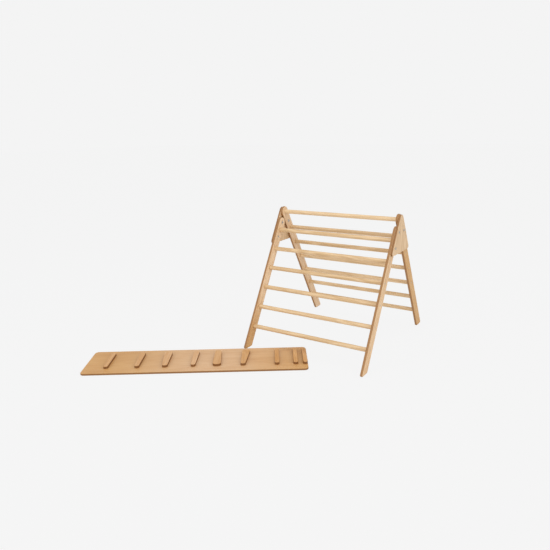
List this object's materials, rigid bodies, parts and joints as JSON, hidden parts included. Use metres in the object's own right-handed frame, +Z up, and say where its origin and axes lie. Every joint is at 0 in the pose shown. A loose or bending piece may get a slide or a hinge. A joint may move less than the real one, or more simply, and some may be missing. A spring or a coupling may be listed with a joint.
{
  "type": "folding climbing triangle with ramp",
  "caption": "Wooden toddler climbing triangle: rung ladders hinged at gusset plates, with a loose cleated ramp that hooks on a rung as a slide.",
  "frame": {"origin": "the middle of the whole assembly's footprint, on the floor", "axes": "+X along the rungs to the right, +Y from the front ladder to the rear ladder, +Z up"},
  "size_m": [1.5196, 1.717, 0.8094],
  "materials": {
    "rail_wood": "clear oiled birch plywood, edges showing their darker plies",
    "dowel_wood": "clear oiled hardwood dowel",
    "plate_wood": "clear oiled birch plywood, grain upright",
    "ramp_wood": "oiled birch plywood, fine grain along the length",
    "cleat_wood": "oiled birch plywood, rounded edges",
    "zinc_steel": "zinc plated, satin"
  },
  "bodies": {
    "rear_frame": {"rear_rail_left": "rail_wood", "rear_rail_right": "rail_wood", "rear_rung_1": "dowel_wood", "rear_screw_left_1": "zinc_steel", "rear_screw_right_1": "zinc_steel", "rear_rung_2": "dowel_wood", "rear_screw_left_2": "zinc_steel", "rear_screw_right_2": "zinc_steel", "rear_rung_3": "dowel_wood", "rear_screw_left_3": "zinc_steel", "rear_screw_right_3": "zinc_steel", "rear_rung_4": "dowel_wood", "rear_screw_left_4": "zinc_steel", "rear_screw_right_4": "zinc_steel", "rear_rung_5": "dowel_wood", "rear_screw_left_5": "zinc_steel", "rear_screw_right_5": "zinc_steel", "rear_rung_6": "dowel_wood", "rear_screw_left_6": "zinc_steel", "rear_screw_right_6": "zinc_steel", "top_bar": "dowel_wood", "gusset_plate_left": "plate_wood", "pivot_bolt_left": "zinc_steel", "rear_bolt_left": "zinc_steel", "gusset_plate_right": "plate_wood", "pivot_bolt_right": "zinc_steel", "rear_bolt_right": "zinc_steel"},
    "front_ladder": {"front_rail_left": "rail_wood", "front_rail_right": "rail_wood", "front_rung_1": "dowel_wood", "front_screw_left_1": "zinc_steel", "front_screw_right_1": "zinc_steel", "front_rung_2": "dowel_wood", "front_screw_left_2": "zinc_steel", "front_screw_right_2": "zinc_steel", "front_rung_3": "dowel_wood", "front_screw_left_3": "zinc_steel", "front_screw_right_3": "zinc_steel", "front_rung_4": "dowel_wood", "front_screw_left_4": "zinc_steel", "front_screw_right_4": "zinc_steel", "front_rung_5": "dowel_wood", "front_screw_left_5": "zinc_steel", "front_screw_right_5": "zinc_steel", "front_rung_6": "dowel_wood", "front_screw_left_6": "zinc_steel", "front_screw_right_6": "zinc_steel"},
    "climbing_ramp": {"ramp_board": "ramp_wood", "ramp_cleat_1": "cleat_wood", "ramp_cleat_2": "cleat_wood", "ramp_cleat_3": "cleat_wood", "ramp_cleat_4": "cleat_wood", "ramp_cleat_5": "cleat_wood", "ramp_cleat_6": "cleat_wood", "ramp_cleat_7": "cleat_wood", "hook_cleat_inner": "cleat_wood", "hook_cleat_end": "cleat_wood"},
    "lock_bolt_left": {"lock_bolt_left": "zinc_steel"},
    "lock_bolt_right": {"lock_bolt_right": "zinc_steel"}
  },
  "joints": [
    {"name": "fold", "type": "hinge", "parent": "rear_frame", "child": "front_ladder", "pos_m": [0.35478, 0.33689, 0.71135], "axis": [1, 0, 0], "range_deg": [0, 60.5]},
    {"name": "ramp_slide", "type": "slide", "parent": "rear_frame", "child": "climbing_ramp", "axis": [-0.8348, -0.5505, 0], "range_m": [0, 0.5]},
    {"name": "lock_bolt_left_slide", "type": "slide", "parent": "rear_frame", "child": "lock_bolt_left", "axis": [-1, 0, 0], "range_m": [0, 0.03]},
    {"name": "lock_bolt_right_slide", "type": "slide", "parent": "rear_frame", "child": "lock_bolt_right", "axis": [1, 0, 0], "range_m": [0, 0.03]}
  ]
}
